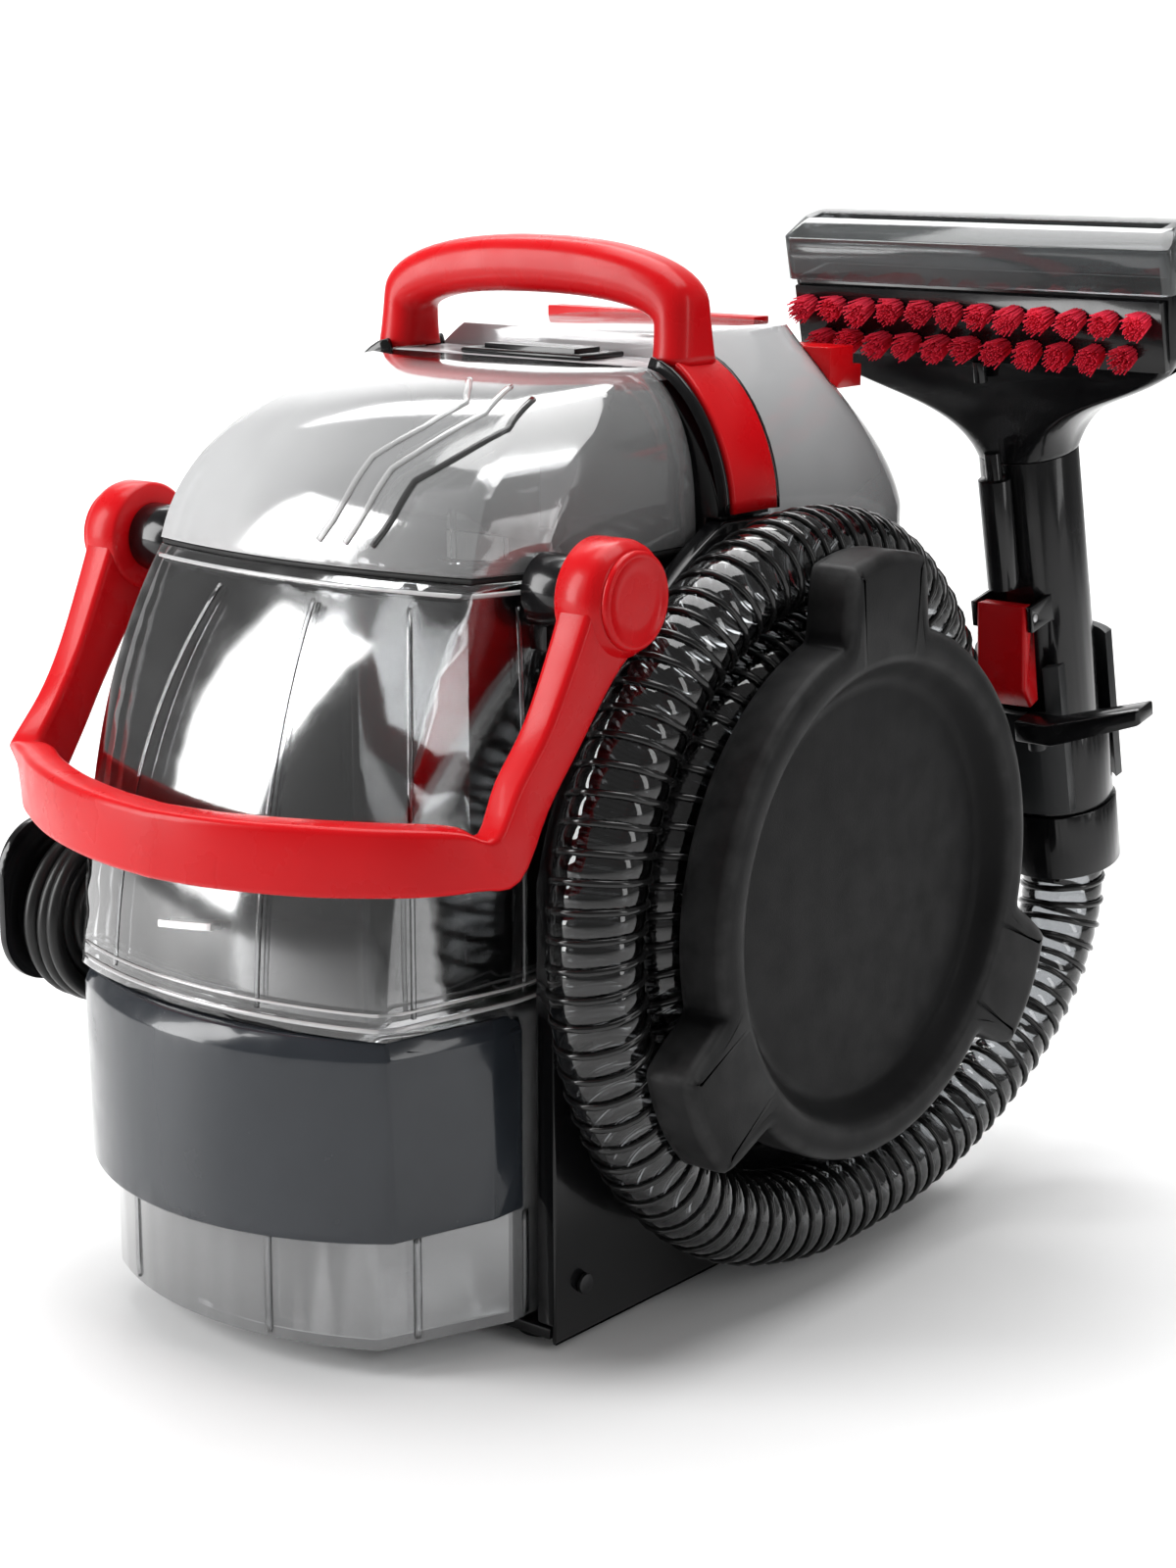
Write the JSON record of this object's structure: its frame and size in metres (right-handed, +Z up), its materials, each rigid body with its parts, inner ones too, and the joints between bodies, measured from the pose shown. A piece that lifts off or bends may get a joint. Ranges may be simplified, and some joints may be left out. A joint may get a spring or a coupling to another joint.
{
  "type": "portable spot extractor",
  "caption": "Portable carpet and upholstery spot extractor with a clear dirty-water tank, carrying bail, hose reel, spray wand with brush head, and a smoky clean-water tank.",
  "frame": {"origin": "floor point under the middle of the carry handle, on the machine's mid-plane", "axes": "+X to the hose reel side, +Y to the rear, +Z up; the dirty tank faces -Y"},
  "size_m": [0.3128, 0.4023, 0.3664],
  "materials": {
    "red_plastic": "satin",
    "clear_plastic": "polished clear",
    "smoke_plastic": "polished smoky",
    "slate_plastic": "gloss",
    "black_plastic": "gloss",
    "textured_plastic": "fine matte texture",
    "grey_plastic": "matte",
    "rubber": "matte",
    "hose_plastic": "glossy smoky",
    "cord_jacket": "satin",
    "steel": "satin",
    "bristle": "fibrous",
    "float_plastic": "satin"
  },
  "bodies": {
    "root": {"base_tray": "black_plastic", "brush_block": "black_plastic", "brush_bristles": "bristle", "carry_handle": "red_plastic", "clean_tank_cap": "black_plastic", "clean_tank_grip": "red_plastic", "clean_tank_shell": "smoke_plastic", "cord_inlet": "black_plastic", "cord_strain_relief": "rubber", "cord_wrap_drum": "black_plastic", "cord_wrap_flange": "black_plastic", "exhaust_grille": "black_plastic", "holder_bracket": "grey_plastic", "holder_cradle": "grey_plastic", "hose_cuff": "black_plastic", "hose_port": "black_plastic", "hose_reel_disc": "textured_plastic", "hose_reel_hub": "textured_plastic", "housing_screws": "steel", "left_side_panel": "black_plastic", "main_housing": "black_plastic", "motor_bearings": "steel", "motor_housing": "black_plastic", "nozzle_body": "black_plastic", "nozzle_window": "smoke_plastic", "plug_clip": "black_plastic", "power_cord_coil": "cord_jacket", "power_cord_runs": "cord_jacket", "power_plug": "cord_jacket", "right_side_panel": "black_plastic", "rubber_feet": "rubber", "rubber_mounts": "rubber", "spray_jet": "black_plastic", "spray_pump": "black_plastic", "spray_tube": "black_plastic", "suction_hose": "hose_plastic", "switch_bezel": "black_plastic", "swivel_collar": "black_plastic", "tool_wand": "black_plastic", "trigger_pin": "steel", "upper_housing": "black_plastic", "water_tube": "rubber"},
    "dirty_tank": {"tank_shell": "clear_plastic", "tank_seal": "rubber", "tank_riser": "clear_plastic", "skirt_panel": "slate_plastic", "trunnions": "black_plastic"},
    "lid": {"tank_lid": "clear_plastic", "lid_baffle": "clear_plastic", "float_cage": "clear_plastic"},
    "float": {"float": "float_plastic"},
    "bail": {"bail_handle": "red_plastic", "bail_caps": "red_plastic"},
    "rotor": {"motor_rotor": "steel", "suction_impeller": "black_plastic"},
    "switch": {"power_switch": "black_plastic"},
    "valve": {"valve_poppet": "black_plastic"},
    "trigger": {"spray_trigger": "red_plastic"},
    "head_latch": {"head_latch": "black_plastic"},
    "holder_latch": {"holder_latch": "black_plastic"}
  },
  "joints": [
    {"name": "dirty_tank_lift", "type": "slide", "parent": "root", "child": "dirty_tank", "axis": [0, 0, 1], "range_m": [0, 0.15]},
    {"name": "lid_lift", "type": "slide", "parent": "dirty_tank", "child": "lid", "axis": [0, 0, 1], "range_m": [0, 0.05]},
    {"name": "float_rise", "type": "slide", "parent": "lid", "child": "float", "axis": [0, 0, 1], "range_m": [0, 0.02]},
    {"name": "bail_swing", "type": "hinge", "parent": "dirty_tank", "child": "bail", "pos_m": [0, -0.096, 0.255], "axis": [-1, 0, 0], "range_deg": [0, 131]},
    {"name": "rotor_spin", "type": "hinge", "parent": "root", "child": "rotor", "pos_m": [-0.022, 0.054, 0.08], "axis": [0, 0, 1], "continuous": true},
    {"name": "switch_press", "type": "slide", "parent": "root", "child": "switch", "axis": [0, 0, -1], "range_m": [0, 0.0015], "stiffness_N_per_m": 400},
    {"name": "valve_lift", "type": "slide", "parent": "root", "child": "valve", "axis": [0, 0, 1], "range_m": [0, 0.003], "stiffness_N_per_m": 100},
    {"name": "trigger_pull", "type": "hinge", "parent": "root", "child": "trigger", "pos_m": [0.112, 0.13512, 0.21868], "axis": [1, 0, 0], "range_deg": [0, 6], "stiffness_Nm_per_rad": 2},
    {"name": "latch_press", "type": "slide", "parent": "root", "child": "head_latch", "axis": [0, -0.9755, -0.2198], "range_m": [0, 0.002], "stiffness_N_per_m": 300},
    {"name": "holder_latch_swing", "type": "hinge", "parent": "root", "child": "holder_latch", "pos_m": [0.12365, 0.14072, 0.17381], "axis": [0, 0.2198, -0.9755], "range_deg": [0, 45]}
  ]
}
